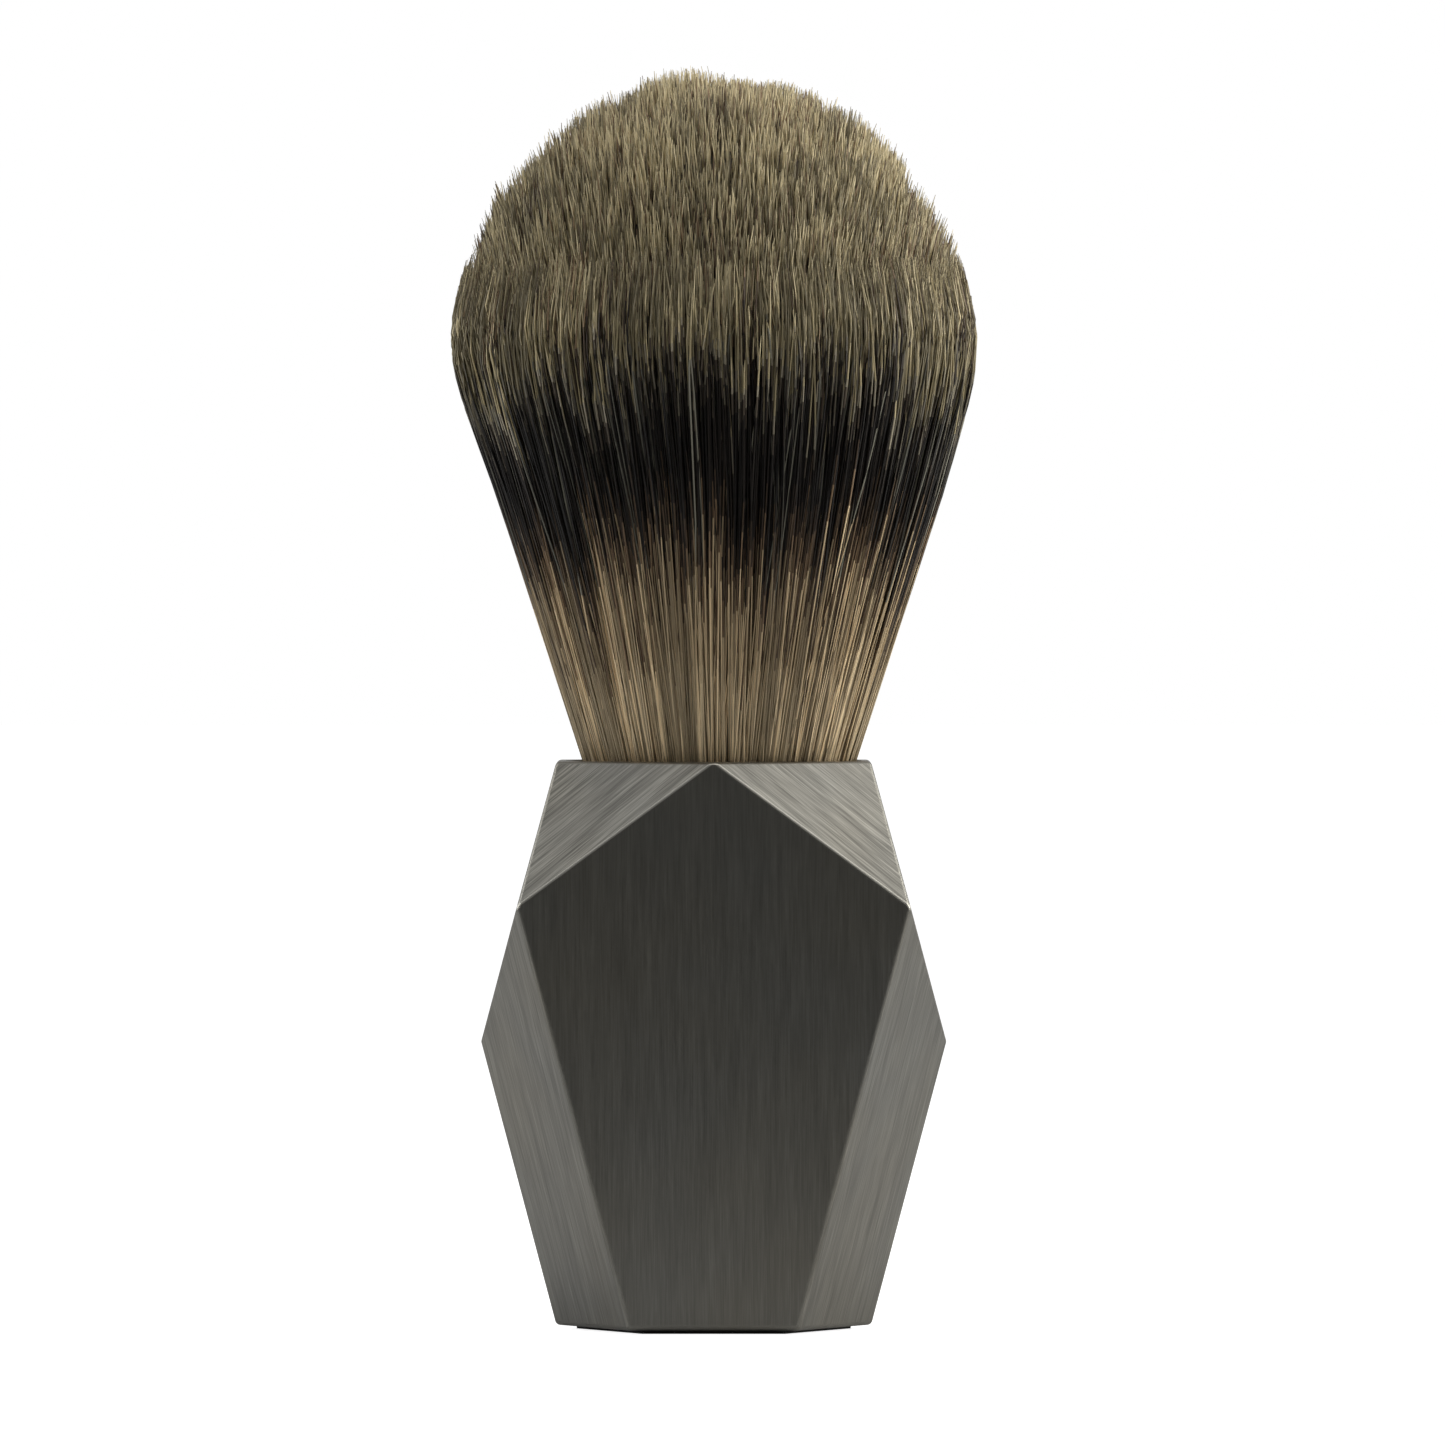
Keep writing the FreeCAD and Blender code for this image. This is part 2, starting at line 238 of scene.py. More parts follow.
def brushed_steel(name, tint, faceted):
    """Steel brushed with a belt: long scratches, deepest on the upper facets, and a painted
    highlight along the rounded edges.
    """
    material, shader = new_material(name)
    graph = Graph(material)
    place = graph.coordinates.outputs["Object"]
    if faceted:
        front, upper, lower, edge = facet_masks(graph)
        way = grain_direction(graph, upper, lower)
        deeper = graph.maths("MULTIPLY_ADD", upper, UPPER_SHOWS_MORE, 1.0)
        depth = graph.maths("SUBTRACT", deeper, graph.maths("MULTIPLY", front, FRONT_SHOWS_LESS))
    else:
        way = (1.0, 0.0, 0.0)
        edge = 0.0
        depth = 1.0
    run = graph.scaled(way, graph.vector("DOT_PRODUCT", place, way))
    across = graph.vector("SUBTRACT", place, run)

    def streaks(fine, long, detail):
        stretched = graph.vector("ADD", graph.scaled(across, fine), graph.scaled(run, long))
        return graph.maths("SUBTRACT", graph.noise(stretched, 1.0, detail), 0.5)

    hair_lines = streaks(*HAIR_LINES)
    wide_lines = streaks(*WIDE_LINES)
    broad_bands = streaks(*BROAD_BANDS)
    coarse = graph.maths("ADD", graph.maths("MULTIPLY", wide_lines, WIDE_LINES_SHOW),
                         graph.maths("MULTIPLY", broad_bands, BROAD_BANDS_SHOW))
    lines = graph.maths("ADD", graph.maths("MULTIPLY", hair_lines, HAIR_LINES_SHOW), coarse)
    shade = graph.maths("ADD", 0.5, graph.maths("MULTIPLY", lines, depth))
    toned = graph.ramp(shade, (0.25, tinted(tint, SCRATCH_DARK)), (0.5, tint),
                       (0.75, tinted(tint, SCRATCH_PALE)))
    warm = graph.ramp(graph.noise(place, DRIFT_SCALE, 2.0),
                      (0.35, COOL_STEEL), (0.65, WARM_STEEL))
    drifted = graph.mix("MULTIPLY", 1.0, toned, warm)
    # The rounded edges get a painted highlight, paler than the steel.
    painted_edge_highlight = (*tinted(tint, EDGE_PAINTED_HIGHLIGHT), 1)
    graph.link(graph.mix("MIX", edge, drifted, painted_edge_highlight), shader.inputs["Base Color"])
    graph.link(graph.spread(graph.maths("ADD", wide_lines, 0.5), *STEEL_ROUGHNESS),
               shader.inputs["Roughness"])
    graph.link(graph.bump(shade, SCRATCH_DEPTH, SCRATCH_RELIEF), shader.inputs["Normal"])
    shader.inputs["Metallic"].default_value = 1.0
    return material


SPECKLE_DEPTH = 0.03 * MM
SPECKLE_RELIEF = 0.6
SPECKLE_GLOSS = 0.06


def speckled(name, tint, scale, rough, swing=0.15, metallic=0.0):
    """A plain finish with a fine uneven surface: rubber, resin, turned metal."""
    material, shader = new_material(name)
    graph = Graph(material)
    grain = graph.noise(graph.coordinates.outputs["Object"], scale, 4.0, 0.6)
    toned = graph.ramp(grain, (0.3, tinted(tint, 1 - swing)), (0.7, tinted(tint, 1 + swing)))
    graph.link(toned, shader.inputs["Base Color"])
    graph.link(graph.spread(grain, rough - SPECKLE_GLOSS, rough + SPECKLE_GLOSS),
               shader.inputs["Roughness"])
    graph.link(graph.bump(grain, SPECKLE_DEPTH, SPECKLE_RELIEF), shader.inputs["Normal"])
    shader.inputs["Metallic"].default_value = metallic
    return material


# The tones of a hair from root to tip, each in four shades from a shadowed hair to a pale one.
HAIR_TONES = [
    ("tan_root", (0.82, 0.65, 0.41)),
    ("tan", (0.63, 0.485, 0.295)),
    ("brown", (0.19, 0.128, 0.076)),
    ("dark_brown", (0.05, 0.034, 0.022)),
    ("black", (0.014, 0.011, 0.009)),
    ("smoke", (0.07, 0.056, 0.041)),
    ("taupe", (0.29, 0.258, 0.190)),
    ("cream", (0.41, 0.345, 0.200)),
    ("pale_tip", (0.475, 0.405, 0.248)),
    ("ash", (0.24, 0.232, 0.185)),
]
TONE = {name: number for number, (name, _) in enumerate(HAIR_TONES)}
HAIR_SHADES = (0.4, 0.78, 1.1, 1.55)
PALEST = 0.9
HAIR_ROUGHNESS = 0.55
HAIR_SHINE = 0.35


def hair_materials():
    """Every tone in every shade, in order, so that a face's number is tone * shades + shade."""
    made = []
    for tone, tint in HAIR_TONES:
        for number, shade in enumerate(HAIR_SHADES, start=1):
            material, shader = new_material("hair_%s_%d" % (tone, number))
            colour = [part * min(shade, PALEST / max(tint)) for part in tint]
            shader.inputs["Base Color"].default_value = (*colour, 1)
            shader.inputs["Roughness"].default_value = HAIR_ROUGHNESS
            shader.inputs["Specular IOR Level"].default_value = HAIR_SHINE
            made.append(material)
    return made


# ---------------------------------------------------------------- the hair

# How many hairs and locks, how wide a lock is, and which hairs show from the socket up.
HAIRS = 36000
LOCKS = 4200
LOCK_SPREAD = 0.016
LEAST_SHARE = 0.001
OUTER_SHARE = 0.80
SECTORS = 6
PALE_SHARE = 0.085
DARK_SHARE = 0.15
KNOT_SHIFT = 0.5 * MM
KNOT_SWELL = 1.015

# Where hairs turn dark and pale again. The pale band hangs lower at the sides, most at the left.
DARK_LEVEL = BEND_LEVEL + 13.3 * MM
PALE_LEVEL = BLOOM_LEVEL - 2.5 * MM
SIDE_DIP = 5.2 * MM
DIP_LEAN = 0.7 * MM

# How ragged each of those edges is: by lock, by hair and round the axis in mm, then its waves.
DARK_RAGGED = (1.8, 1.5, 1.3, (7, 13, 23, 31), 2.0)
PALE_RAGGED = (1.7, 1.4, 1.3, (9, 16, 27, 35), 4.0)
TAN_REACH = 1.8 * MM
PALE_REACH = 1.6 * MM

# A tip's fall short of the bloom, by hair and by lock, and its rise with soft patches, in mm.
HAIR_SUNK = 0.4 * MM
LOCK_SUNK = 0.95 * MM
TIP_RISE = 0.35
TIP_PATCHES = 0.25

# The outermost hairs end over a band of levels above the bloom's middle, in mm.
LOWEST_TIP = 0.8
LOWEST_TIP_SPREAD = 6.2

# Above this height over the bloom's middle the outline draws the hairs in no further.
INWARD_LIMIT = 7 * MM

# A lock's hairs draw together towards its tip.
LOCK_DRAW = 0.7
DRAW_POWER = 3
DRAW_HEIGHT = 1.6

# Each hair wanders in a slow wave that widens with height.
SWING = 0.42 * MM
SWING_POWER = 1.2
LEAST_WAVES = 0.6

# A hair leans round the axis: how much for most hairs and for loose pale ones.
PLAIN_LEAN = 0.038
PALE_LEAN = 0.090
LEAN_CORE = 4 * MM

# The knot stands a little to the right up to this part of its height.
SHIFT_TOP = 0.62
SHIFT_FADE = 0.2

# The parts of a hair's shade: its lock, itself, soft patches, and a painted shade by its height
# in the bloom, darker for hairs that end lower.
SHADE_LOCK = 0.6
SHADE_HAIR = 0.4
SHADE_PATCHES = 0.05
SHADE_PAINTED_BY_HEIGHT = 0.30
MIDDLE_HEIGHT = 0.6
SHADE_START = 0.2
SHADE_WIDTH = 0.6

# Soft patches come from waves across the knot and along its depth.
PATCH_WAVES = ((13, 7), (-9, 15), (21, -4))
PATCH_SPREAD = 1.2

# Where the rings of a hair sit: parts of the way up its root and its end, and the fades between.
ROOT_RINGS = (0.25, 0.5)
END_RINGS = (0.18, 0.66)
TAN_FADE = 3.2 * MM
BLACK_FADE = 2.6 * MM
PALE_FADE = 1.8 * MM
LEAST_PALE = 3 * MM
LEAST_BLACK = 8 * MM
CROWN_RINGS = np.array([[15, 10, 5.2, 2.0, 0]]) * MM

# The half thickness of a hair at each ring, and how it differs from hair to hair.
OUTER_RADII = np.array([56, 62, 68, 76, 86, 92, 94, 94, 90, 72, 24]) * MICRON
CROWN_RADII = np.array([96, 96, 94, 76, 24]) * MICRON
THINNEST = 0.75
THICKNESS_SPREAD = 0.5

# The tones between the rings: most hairs change three times, some stay pale, some end dark.
OUTER_TONES = {
    "plain": ("tan_root", "tan_root", "tan", "brown", "dark_brown", "black", "smoke", "taupe",
              "cream", "pale_tip"),
    "pale": ("tan", "tan", "tan", "ash", "ash", "ash", "ash", "ash", "cream", "pale_tip"),
    "dark": ("tan", "tan", "brown", "brown", "dark_brown", "black", "black", "dark_brown",
             "dark_brown", "brown"),
}
CROWN_TONES = {
    "plain": ("taupe", "cream", "cream", "pale_tip"),
    "pale": ("cream", "cream", "pale_tip", "pale_tip"),
    "dark": ("dark_brown", "dark_brown", "dark_brown", "brown"),
}

# The solid core: how far under the outline it lies, and where its outline is taken.
CORE_DEPTH = 1.7 * MM
CORE_ANGLES = [-8, 5, 20, 35, 50, 65, 78]
CORE_FLARE_STEPS = 8
CORE_SIDES = 48
CORE_LEAST_RADIUS = 0.5 * MM

HALVINGS = 30
RNG = np.random.default_rng(SEED)


def hair_template(rings):
    """A three-sided hair along +Z, a unit per ring, closed at the foot and drawn to a point."""
    bm = bmesh.new()
    bmesh.ops.create_circle(bm, cap_ends=True, segments=3, radius=1.0)
    bm.normal_update()
    foot = bm.faces[:]
    bmesh.ops.reverse_faces(bm, faces=foot)
    edge_loop = bm.edges[:]
    for _ in range(rings - 1):
        grown = bmesh.ops.extrude_edge_only(bm, edges=edge_loop)["geom"]
        verts = [part for part in grown if isinstance(part, bmesh.types.BMVert)]
        edge_loop = [part for part in grown if isinstance(part, bmesh.types.BMEdge)]
        edge_loop = [part for part in edge_loop if all(v in verts for v in part.verts)]
        bmesh.ops.translate(bm, verts=verts, vec=(0, 0, 1))
    bmesh.ops.contextual_create(bm, geom=edge_loop)
    bmesh.ops.recalc_face_normals(bm, faces=bm.faces[:])
    places = np.array([v.co[:] for v in bm.verts])
    faces = [[v.index for v in face.verts] for face in bm.faces]
    levels = np.array([face.calc_center_median().z for face in bm.faces])
    bm.free()
    return places, faces, levels


def outer_line(level):
    """The outside of the knot at a level: a straight flare, then a bloom with cut shoulders."""
    flare = (HEEL_RADIUS + (level - BEND_LEVEL) * math.sin(FLARE)) / math.cos(FLARE)
    rise = np.clip((level - BLOOM_LEVEL) / BLOOM_RADIUS, -1, 1)
    cut = SHOULDER_CUT * np.sin(np.pi * np.maximum(rise, 0))
    dome = BLOOM_RADIUS * np.sqrt(1 - rise ** 2) - cut
    return flare, np.where(level < TANGENT_LEVEL, flare, dome)


def tip_level(share):
    """Where a straight hair that starts at a share of the knot's radius meets the bloom."""
    low = np.full_like(share, TANGENT_LEVEL)
    high = np.full_like(share, CROWN)
    for _ in range(HALVINGS):
        middle = (low + high) / 2
        flare, dome = outer_line(middle)
        inside = share * flare < dome
        low = np.where(inside, middle, low)
        high = np.where(inside, high, middle)
    return low


def scatter_hairs():
    """Each hair's place in the knot, gathered into locks that end together."""
    lock_share = np.sqrt(RNG.random(LOCKS))
    lock_turn = RNG.random(LOCKS) * FULL_TURN
    lock = RNG.integers(0, LOCKS, HAIRS)
    lock_x = lock_share[lock] * np.cos(lock_turn[lock])
    lock_y = lock_share[lock] * np.sin(lock_turn[lock])
    across = lock_x + RNG.normal(0, LOCK_SPREAD, HAIRS)
    deep = lock_y + RNG.normal(0, LOCK_SPREAD, HAIRS)
    share = np.hypot(across, deep)
    folded = np.where(share > 1, 2 - share, share)
    pale = RNG.random(HAIRS) < PALE_SHARE
    dark = np.maximum(RNG.random(HAIRS), RNG.random(LOCKS)[lock]) > 1 - DARK_SHARE / 2
    return {
        "share": np.clip(folded, LEAST_SHARE, 1) * KNOT_SWELL,
        "turn": np.arctan2(deep, across),
        "lock_x": lock_x,
        "lock_y": lock_y,
        "lock_band": RNG.normal(0, 1, LOCKS)[lock],
        "lock_shade": RNG.random(LOCKS)[lock],
        "rise": RNG.normal(0, 1, HAIRS),
        "band": RNG.normal(0, 1, HAIRS),
        "shade": RNG.random(HAIRS),
        "wave": RNG.random((HAIRS, 4)),
        "thick": RNG.random(HAIRS),
        "pale": pale,
        "dark": dark & ~pale,
        "lean": RNG.normal(0, 1, HAIRS) * np.where(pale, PALE_LEAN, PLAIN_LEAN),
        "sunk": RNG.exponential(1, HAIRS) * HAIR_SUNK,
        "lock_sunk": (RNG.exponential(1, LOCKS) * LOCK_SUNK)[lock],
        "pale_reach": RNG.exponential(1, HAIRS) * PALE_REACH,
        "tan_reach": RNG.exponential(1, HAIRS) * TAN_REACH,
    }


def ragged(turn, counts, start):
    """A rise and fall round the knot's axis, from a few waves of different lengths."""
    waves = [np.sin(count * turn + start * (number + 1)) for number, count in enumerate(counts)]
    return sum(waves) / math.sqrt(len(waves) / 2)


def patches(x, y, start):
    """Soft patches across the knot, a few millimetres wide."""
    waves = [np.sin(across * x + deep * y + number * start)
             for number, (across, deep) in enumerate(PATCH_WAVES, start=1)]
    return sum(waves) / PATCH_SPREAD


def hair_paths(hairs, pick, levels):
    """The middle of each picked hair, ring by ring."""
    share = hairs["share"][pick][:, None]
    turn = hairs["turn"][pick][:, None]
    flare, _ = outer_line(levels)
    _, edge = outer_line(np.minimum(levels, BLOOM_LEVEL + INWARD_LIMIT))
    radius = np.minimum(share * flare, edge)
    x = radius * np.cos(turn)
    y = radius * np.sin(turn)

    height = (levels - FOOT_LEVEL) / (CROWN - FOOT_LEVEL)
    lock_share = np.hypot(hairs["lock_x"], hairs["lock_y"])[pick][:, None]
    lock_radius = np.minimum(lock_share * flare, edge)
    lock_turn = np.arctan2(hairs["lock_y"], hairs["lock_x"])[pick][:, None]
    along = np.linspace(0, 1, levels.shape[1])[None, :]
    draw = LOCK_DRAW * along ** DRAW_POWER * np.clip(height * DRAW_HEIGHT, 0, 1)
    x = x + draw * (lock_radius * np.cos(lock_turn) - x)
    y = y + draw * (lock_radius * np.sin(lock_turn) - y)

    wave = hairs["wave"][pick]
    swing = SWING * height ** SWING_POWER
    x = x + swing * np.sin(FULL_TURN * (wave[:, :1] + height * (LEAST_WAVES + wave[:, 1:2])))
    y = y + swing * np.sin(FULL_TURN * (wave[:, 2:3] + height * (LEAST_WAVES + wave[:, 3:4])))

    reach = np.hypot(x, y)
    lean = hairs["lean"][pick][:, None] * (levels - FOOT_LEVEL) / (reach + LEAN_CORE)
    heading = np.arctan2(y, x) + lean
    lower_part = np.clip((SHIFT_TOP - height) / SHIFT_FADE, 0, 1)
    x = reach * np.cos(heading) + KNOT_SHIFT * lower_part
    y = reach * np.sin(heading)
    return np.stack([x, y, levels], axis=2)


def shades_of(hairs, pick):
    """The number of each picked hair's shade."""
    # The height part is painted shade: hairs that end lower in the bloom get darker shades.
    mixed = (SHADE_LOCK * hairs["lock_shade"][pick] + SHADE_HAIR * hairs["shade"][pick]
             + SHADE_PATCHES * patches(hairs["lock_x"][pick], hairs["lock_y"][pick], 1.3)
             + SHADE_PAINTED_BY_HEIGHT * (hairs["height"][pick] - MIDDLE_HEIGHT))
    steps = (mixed - SHADE_START) / SHADE_WIDTH * len(HAIR_SHADES)
    return np.clip(steps, 0, len(HAIR_SHADES) - 1).astype(int)


def grow(hairs, pick, levels, tones, radii):
    """The mesh of the picked hairs, with a tone for each span between rings."""
    rings = levels.shape[1]
    count = len(pick)
    centre = hair_paths(hairs, pick, levels)
    ahead = np.gradient(centre, axis=1)
    ahead /= np.linalg.norm(ahead, axis=2, keepdims=True)
    spin = hairs["wave"][pick, 0] * FULL_TURN
    side = np.stack([np.cos(spin), np.sin(spin), np.zeros(count)], axis=1)[:, None, :]
    first = np.cross(ahead, side)
    first /= np.linalg.norm(first, axis=2, keepdims=True)
    second = np.cross(ahead, first)

    places, faces, face_levels = hair_template(rings)
    ring_of = np.rint(places[:, 2]).astype(int)
    thick = radii[None, :] * (THINNEST + THICKNESS_SPREAD * hairs["thick"][pick][:, None])
    vertices = (centre[:, ring_of]
                + first[:, ring_of] * (places[:, 0] * thick[:, ring_of])[:, :, None]
                + second[:, ring_of] * (places[:, 1] * thick[:, ring_of])[:, :, None])

    # The end faces of all hairs come first, then the side faces of all hairs.
    ends, sides = [np.array([face for face in faces if len(face) == size]) for size in (3, 4)]
    offsets = np.arange(count) * len(places)
    polygons = [list(row) for group in (ends, sides) for hair in offsets for row in group + hair]
    ordered = [level for size in (3, 4)
               for level, face in zip(face_levels, faces) if len(face) == size]
    split = len(ends)
    spans = np.clip(np.floor(np.array(ordered)), 0, rings - 2).astype(int)
    tone = np.concatenate([tones[:, spans[:split]].ravel(), tones[:, spans[split:]].ravel()])
    shade = shades_of(hairs, pick)
    shades = np.concatenate([np.repeat(shade, split), np.repeat(shade, len(sides))])

    mesh = bpy.data.meshes.new("hair")
    mesh.from_pydata(vertices.reshape(-1, 3).tolist(), [], polygons)
    mesh.polygons.foreach_set("material_index", tone * len(HAIR_SHADES) + shades)
    mesh.polygons.foreach_set("use_smooth", np.ones(len(polygons), bool))
    return mesh


def mesh_from(bm, name):
    """The mesh of a finished bmesh, which is freed."""
    mesh = bpy.data.meshes.new(name)
    bm.to_mesh(mesh)
    bm.free()
    return mesh


def add_piece(name, mesh, materials):
    """A finished piece in the scene."""
    piece = bpy.data.objects.new(name, mesh)
    bpy.context.scene.collection.objects.link(piece)
    for material in materials:
        mesh.materials.append(material)
    return piece


def bend_with_tuft(piece):
    """Bakes the piece's transform into its mesh."""
    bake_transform(piece)


def strayed(hairs, pick, own, raggedness):
    """How far the edge of a band strays on each picked hair."""
    by_lock, by_hair, by_turn, counts, start = raggedness
    return (by_lock * hairs["lock_band"][pick] + by_hair * hairs[own][pick]
            + by_turn * ragged(hairs["turn"][pick], counts, start)) * MM


def band_levels(hairs, pick):
    """The levels at which a hair turns dark and turns pale again, lower at the knot's sides."""
    sideways = np.cos(hairs["turn"][pick])
    dip = (SIDE_DIP - DIP_LEAN * sideways) * sideways ** 2
    dark = DARK_LEVEL + hairs["tan_reach"][pick] + strayed(hairs, pick, "band", DARK_RAGGED)
    pale = (PALE_LEVEL - dip - hairs["pale_reach"][pick]
            + strayed(hairs, pick, "rise", PALE_RAGGED))
    return dark[:, None], pale[:, None]


def tones_of(hairs, pick, table):
    """The tones along each picked hair."""
    rows = {kind: [TONE[tone] for tone in names] for kind, names in table.items()}
    tones = np.tile(rows["plain"], (len(pick), 1))
    tones[hairs["pale"][pick]] = rows["pale"]
    tones[hairs["dark"][pick]] = rows["dark"]
    return tones


def full_hairs(hairs, pick, tips):
    """Hairs that show from the socket to their tips."""
    dark, pale = band_levels(hairs, pick)
    tip = tips[pick][:, None]
    pale = np.minimum(pale, tip - LEAST_PALE)
    dark = np.minimum(dark, pale - LEAST_BLACK)
    foot = np.full_like(dark, FOOT_LEVEL)
    root_rings = [foot + part * (dark - foot) for part in ROOT_RINGS]
    end_rings = [pale + part * (tip - pale) for part in END_RINGS]
    levels = np.concatenate([
        foot, *root_rings,
        dark - TAN_FADE, dark, dark + BLACK_FADE,
        pale - PALE_FADE, pale, *end_rings, tip,
    ], axis=1)
    return grow(hairs, pick, levels, tones_of(hairs, pick, OUTER_TONES), OUTER_RADII)


def tip_hairs(hairs, pick, tips):
    """Hairs that show only near their tips, over the top of the bloom."""
    levels = tips[pick][:, None] - CROWN_RINGS
    return grow(hairs, pick, levels, tones_of(hairs, pick, CROWN_TONES), CROWN_RADII)


def make_hair():
    """The knot's hair in wedges round its axis, outer hairs and tip hairs apart."""
    materials = hair_materials()
    hairs = scatter_hairs()
    lowest = BLOOM_LEVEL + (LOWEST_TIP + LOWEST_TIP_SPREAD * hairs["wave"][:, 3]) * MM
    tips = np.maximum(tip_level(hairs["share"]), lowest)
    tips -= hairs["sunk"] + hairs["lock_sunk"]
    tips += (TIP_RISE + TIP_PATCHES * patches(hairs["lock_x"], hairs["lock_y"], 3.3)) * MM
    hairs["height"] = np.clip((tips - BLOOM_LEVEL) / BLOOM_RADIUS, 0, 1)
    sector = np.floor((hairs["turn"] + np.pi) / FULL_TURN * SECTORS).astype(int) % SECTORS
    outer = hairs["share"] > OUTER_SHARE
    for kind, chosen, build in (("outer", outer, full_hairs), ("crown", ~outer, tip_hairs)):
        for number in range(SECTORS):
            pick = np.flatnonzero(chosen & (sector == number))
            mesh = build(hairs, pick, tips)
            piece = add_piece("%s_hair_%d" % (kind, number + 1), mesh, materials)
            bend_with_tuft(piece)


def make_hair_mass():
    """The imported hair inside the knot, turned from its outline a little under the surface."""
    # The packed hair is near black all through: painted shade of the knot's depth, though the
    # hair itself runs tan, black and cream.
    material = speckled("packed_hair", (0.05, 0.04, 0.028), 900.0, 0.8, 0.4)
    flare_levels = np.linspace(FOOT_LEVEL + 1 * MM, TANGENT_LEVEL, CORE_FLARE_STEPS)
    bloom_levels = BLOOM_LEVEL + BLOOM_RADIUS * np.sin(np.radians(CORE_ANGLES))
    levels = np.concatenate([flare_levels, bloom_levels])
    _, outside = outer_line(levels)
    bm = bmesh.new()
    profile = []
    for out, level in zip(outside, levels):
        sunk = CORE_DEPTH if level > BLOOM_LEVEL else 0
        radius = max(CORE_LEAST_RADIUS, out - CORE_DEPTH)
        profile.append(bm.verts.new((radius, 0, level - sunk)))
    profile.insert(0, bm.verts.new((0, 0, profile[0].co.z)))
    profile.append(bm.verts.new((0, 0, CROWN - 1.2 * CORE_DEPTH)))
    edges = [bm.edges.new(pair) for pair in zip(profile, profile[1:])]
    bmesh.ops.spin(bm, geom=profile + edges, cent=(0, 0, 0), axis=(0, 0, 1),
                   angle=FULL_TURN, steps=CORE_SIDES, use_merge=True)
    bmesh.ops.remove_doubles(bm, verts=bm.verts[:], dist=0.01 * MM)
    bmesh.ops.recalc_face_normals(bm, faces=bm.faces[:])
    piece = add_piece("hair_mass", mesh_from(bm, "hair_mass"), [material])
    bend_with_tuft(piece)
    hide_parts("hair_tuft")


# ---------------------------------------------------------------- the made parts

def finish_parts():
    """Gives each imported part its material."""
    finishes = {
        "handle_body": brushed_steel("handle_steel", (0.27, 0.263, 0.236), True),
        "base_plate": brushed_steel("plate_steel", (0.30, 0.295, 0.28), False),
        "base_screw": speckled("screw_steel", (0.30, 0.30, 0.30), 4000.0, 0.35, metallic=1.0),
        "base_pad": speckled("foot_rubber", (0.018, 0.017, 0.017), 2500.0, 0.75),
        "knot_bed": speckled("adhesive", (0.55, 0.5, 0.4), 600.0, 0.5),
        "knot_cup": speckled("cup_aluminium", (0.6, 0.6, 0.6), 3000.0, 0.35, metallic=1.0),
        "root_plug": speckled("potting_resin", (0.5, 0.36, 0.16), 300.0, 0.25),
        "binding_yarn": speckled("yarn", (0.08, 0.07, 0.06), 3500.0, 0.9, 0.4),
        "hair_root": speckled("root_hair", (0.08, 0.06, 0.035), 2200.0, 0.8, 0.5),
    }
    for node, material in finishes.items():
        thing = frame["nodes"][node]
        for slot in thing.material_slots:
            slot.link = "OBJECT"
            slot.material = material


# ---------------------------------------------------------------- the studio

WHITE = (1.0, 1.0, 1.0)
WARM = (1.0, 0.98, 0.94)
WARMER = (1.0, 0.98, 0.93)

# The soft boxes: name, place, side in metres, power in watts, colour. The steel mirrors them.
SOFT_BOXES = (
    ("right_box", (0.62, -0.1, 0.85), 0.9, 1.55, WARM),
    ("left_box", (-0.62, -0.1, 0.85), 0.9, 0.35, WHITE),
    ("top_box", (0.1, -0.35, 1.0), 0.5, 0.9, WARMER),
    ("right_side_box", (0.9, 0.15, 0.35), 0.6, 6.8, WARMER),
    ("left_side_box", (-0.9, 0.15, 0.35), 0.6, 4.6, WHITE),
)
FILL_BOX = ("fill_box", (0.15, -0.7, 0.03), 0.5, 1.0, WARM)

# The floor is a level ring, open under the foot so that light reaches the pad from below.
FLOOR_GREY = 0.46
FLOOR_GLOW = 0.9
FLOOR_LEVEL = -0.05 * MM
FLOOR_HOLE = 10.5 * MM
FLOOR_RADIUS = 6.0
FLOOR_SIDES = 64

CARD_GREY = 0.02
CARD_HALF = 1.0
CARD_PLACE = (0, -1.11, 0.001)

# How bright the room is all round and in front, where it turns dark, and its lean to the right.
ROOM_BRIGHT = 0.49
ROOM_DARK = 0.11
ROOM_LEAN = 0.25
FRONT_WAY = (0, -1, 0.1)
RIGHT_WAY = (1, 0, 0)
FRONT_FADE_START = 0.25
FRONT_FADE_END = 0.85


def soft_box(name, place, side, power, colour):
    """A square light turned towards the knot."""
    light = bpy.data.lights.new(name, "AREA")
    light.shape = "RECTANGLE"
    light.size = side
    light.size_y = side
    light.energy = power
    light.color = colour
    lamp = bpy.data.objects.new(name, light)
    bpy.context.scene.collection.objects.link(lamp)
    towards = Vector((0, 0, BLOOM_LEVEL)) - Vector(place)
    turned = towards.to_track_quat("-Z", "Y").to_matrix().to_4x4()
    lamp.matrix_world = Matrix.Translation(place) @ turned
    lamp.visible_camera = False
    return lamp


def flat_sheet(name, half, centre):
    """A level square."""
    bm = bmesh.new()
    bmesh.ops.create_grid(bm, x_segments=1, y_segments=1, size=half)
    bmesh.ops.translate(bm, verts=bm.verts[:], vec=centre)
    return mesh_from(bm, name)


def ring_sheet(name, inner, outer, level):
    """A level round sheet that faces up, with a round hole in its middle."""
    bm = bmesh.new()
    for radius in (inner, outer):
        bmesh.ops.create_circle(bm, segments=FLOOR_SIDES, radius=radius)
    bmesh.ops.bridge_loops(bm, edges=bm.edges[:])
    bmesh.ops.translate(bm, verts=bm.verts[:], vec=(0, 0, level))
    bmesh.ops.recalc_face_normals(bm, faces=bm.faces[:])
    if bm.faces[:][0].normal.z < 0:
        bmesh.ops.reverse_faces(bm, faces=bm.faces[:])
    return mesh_from(bm, name)


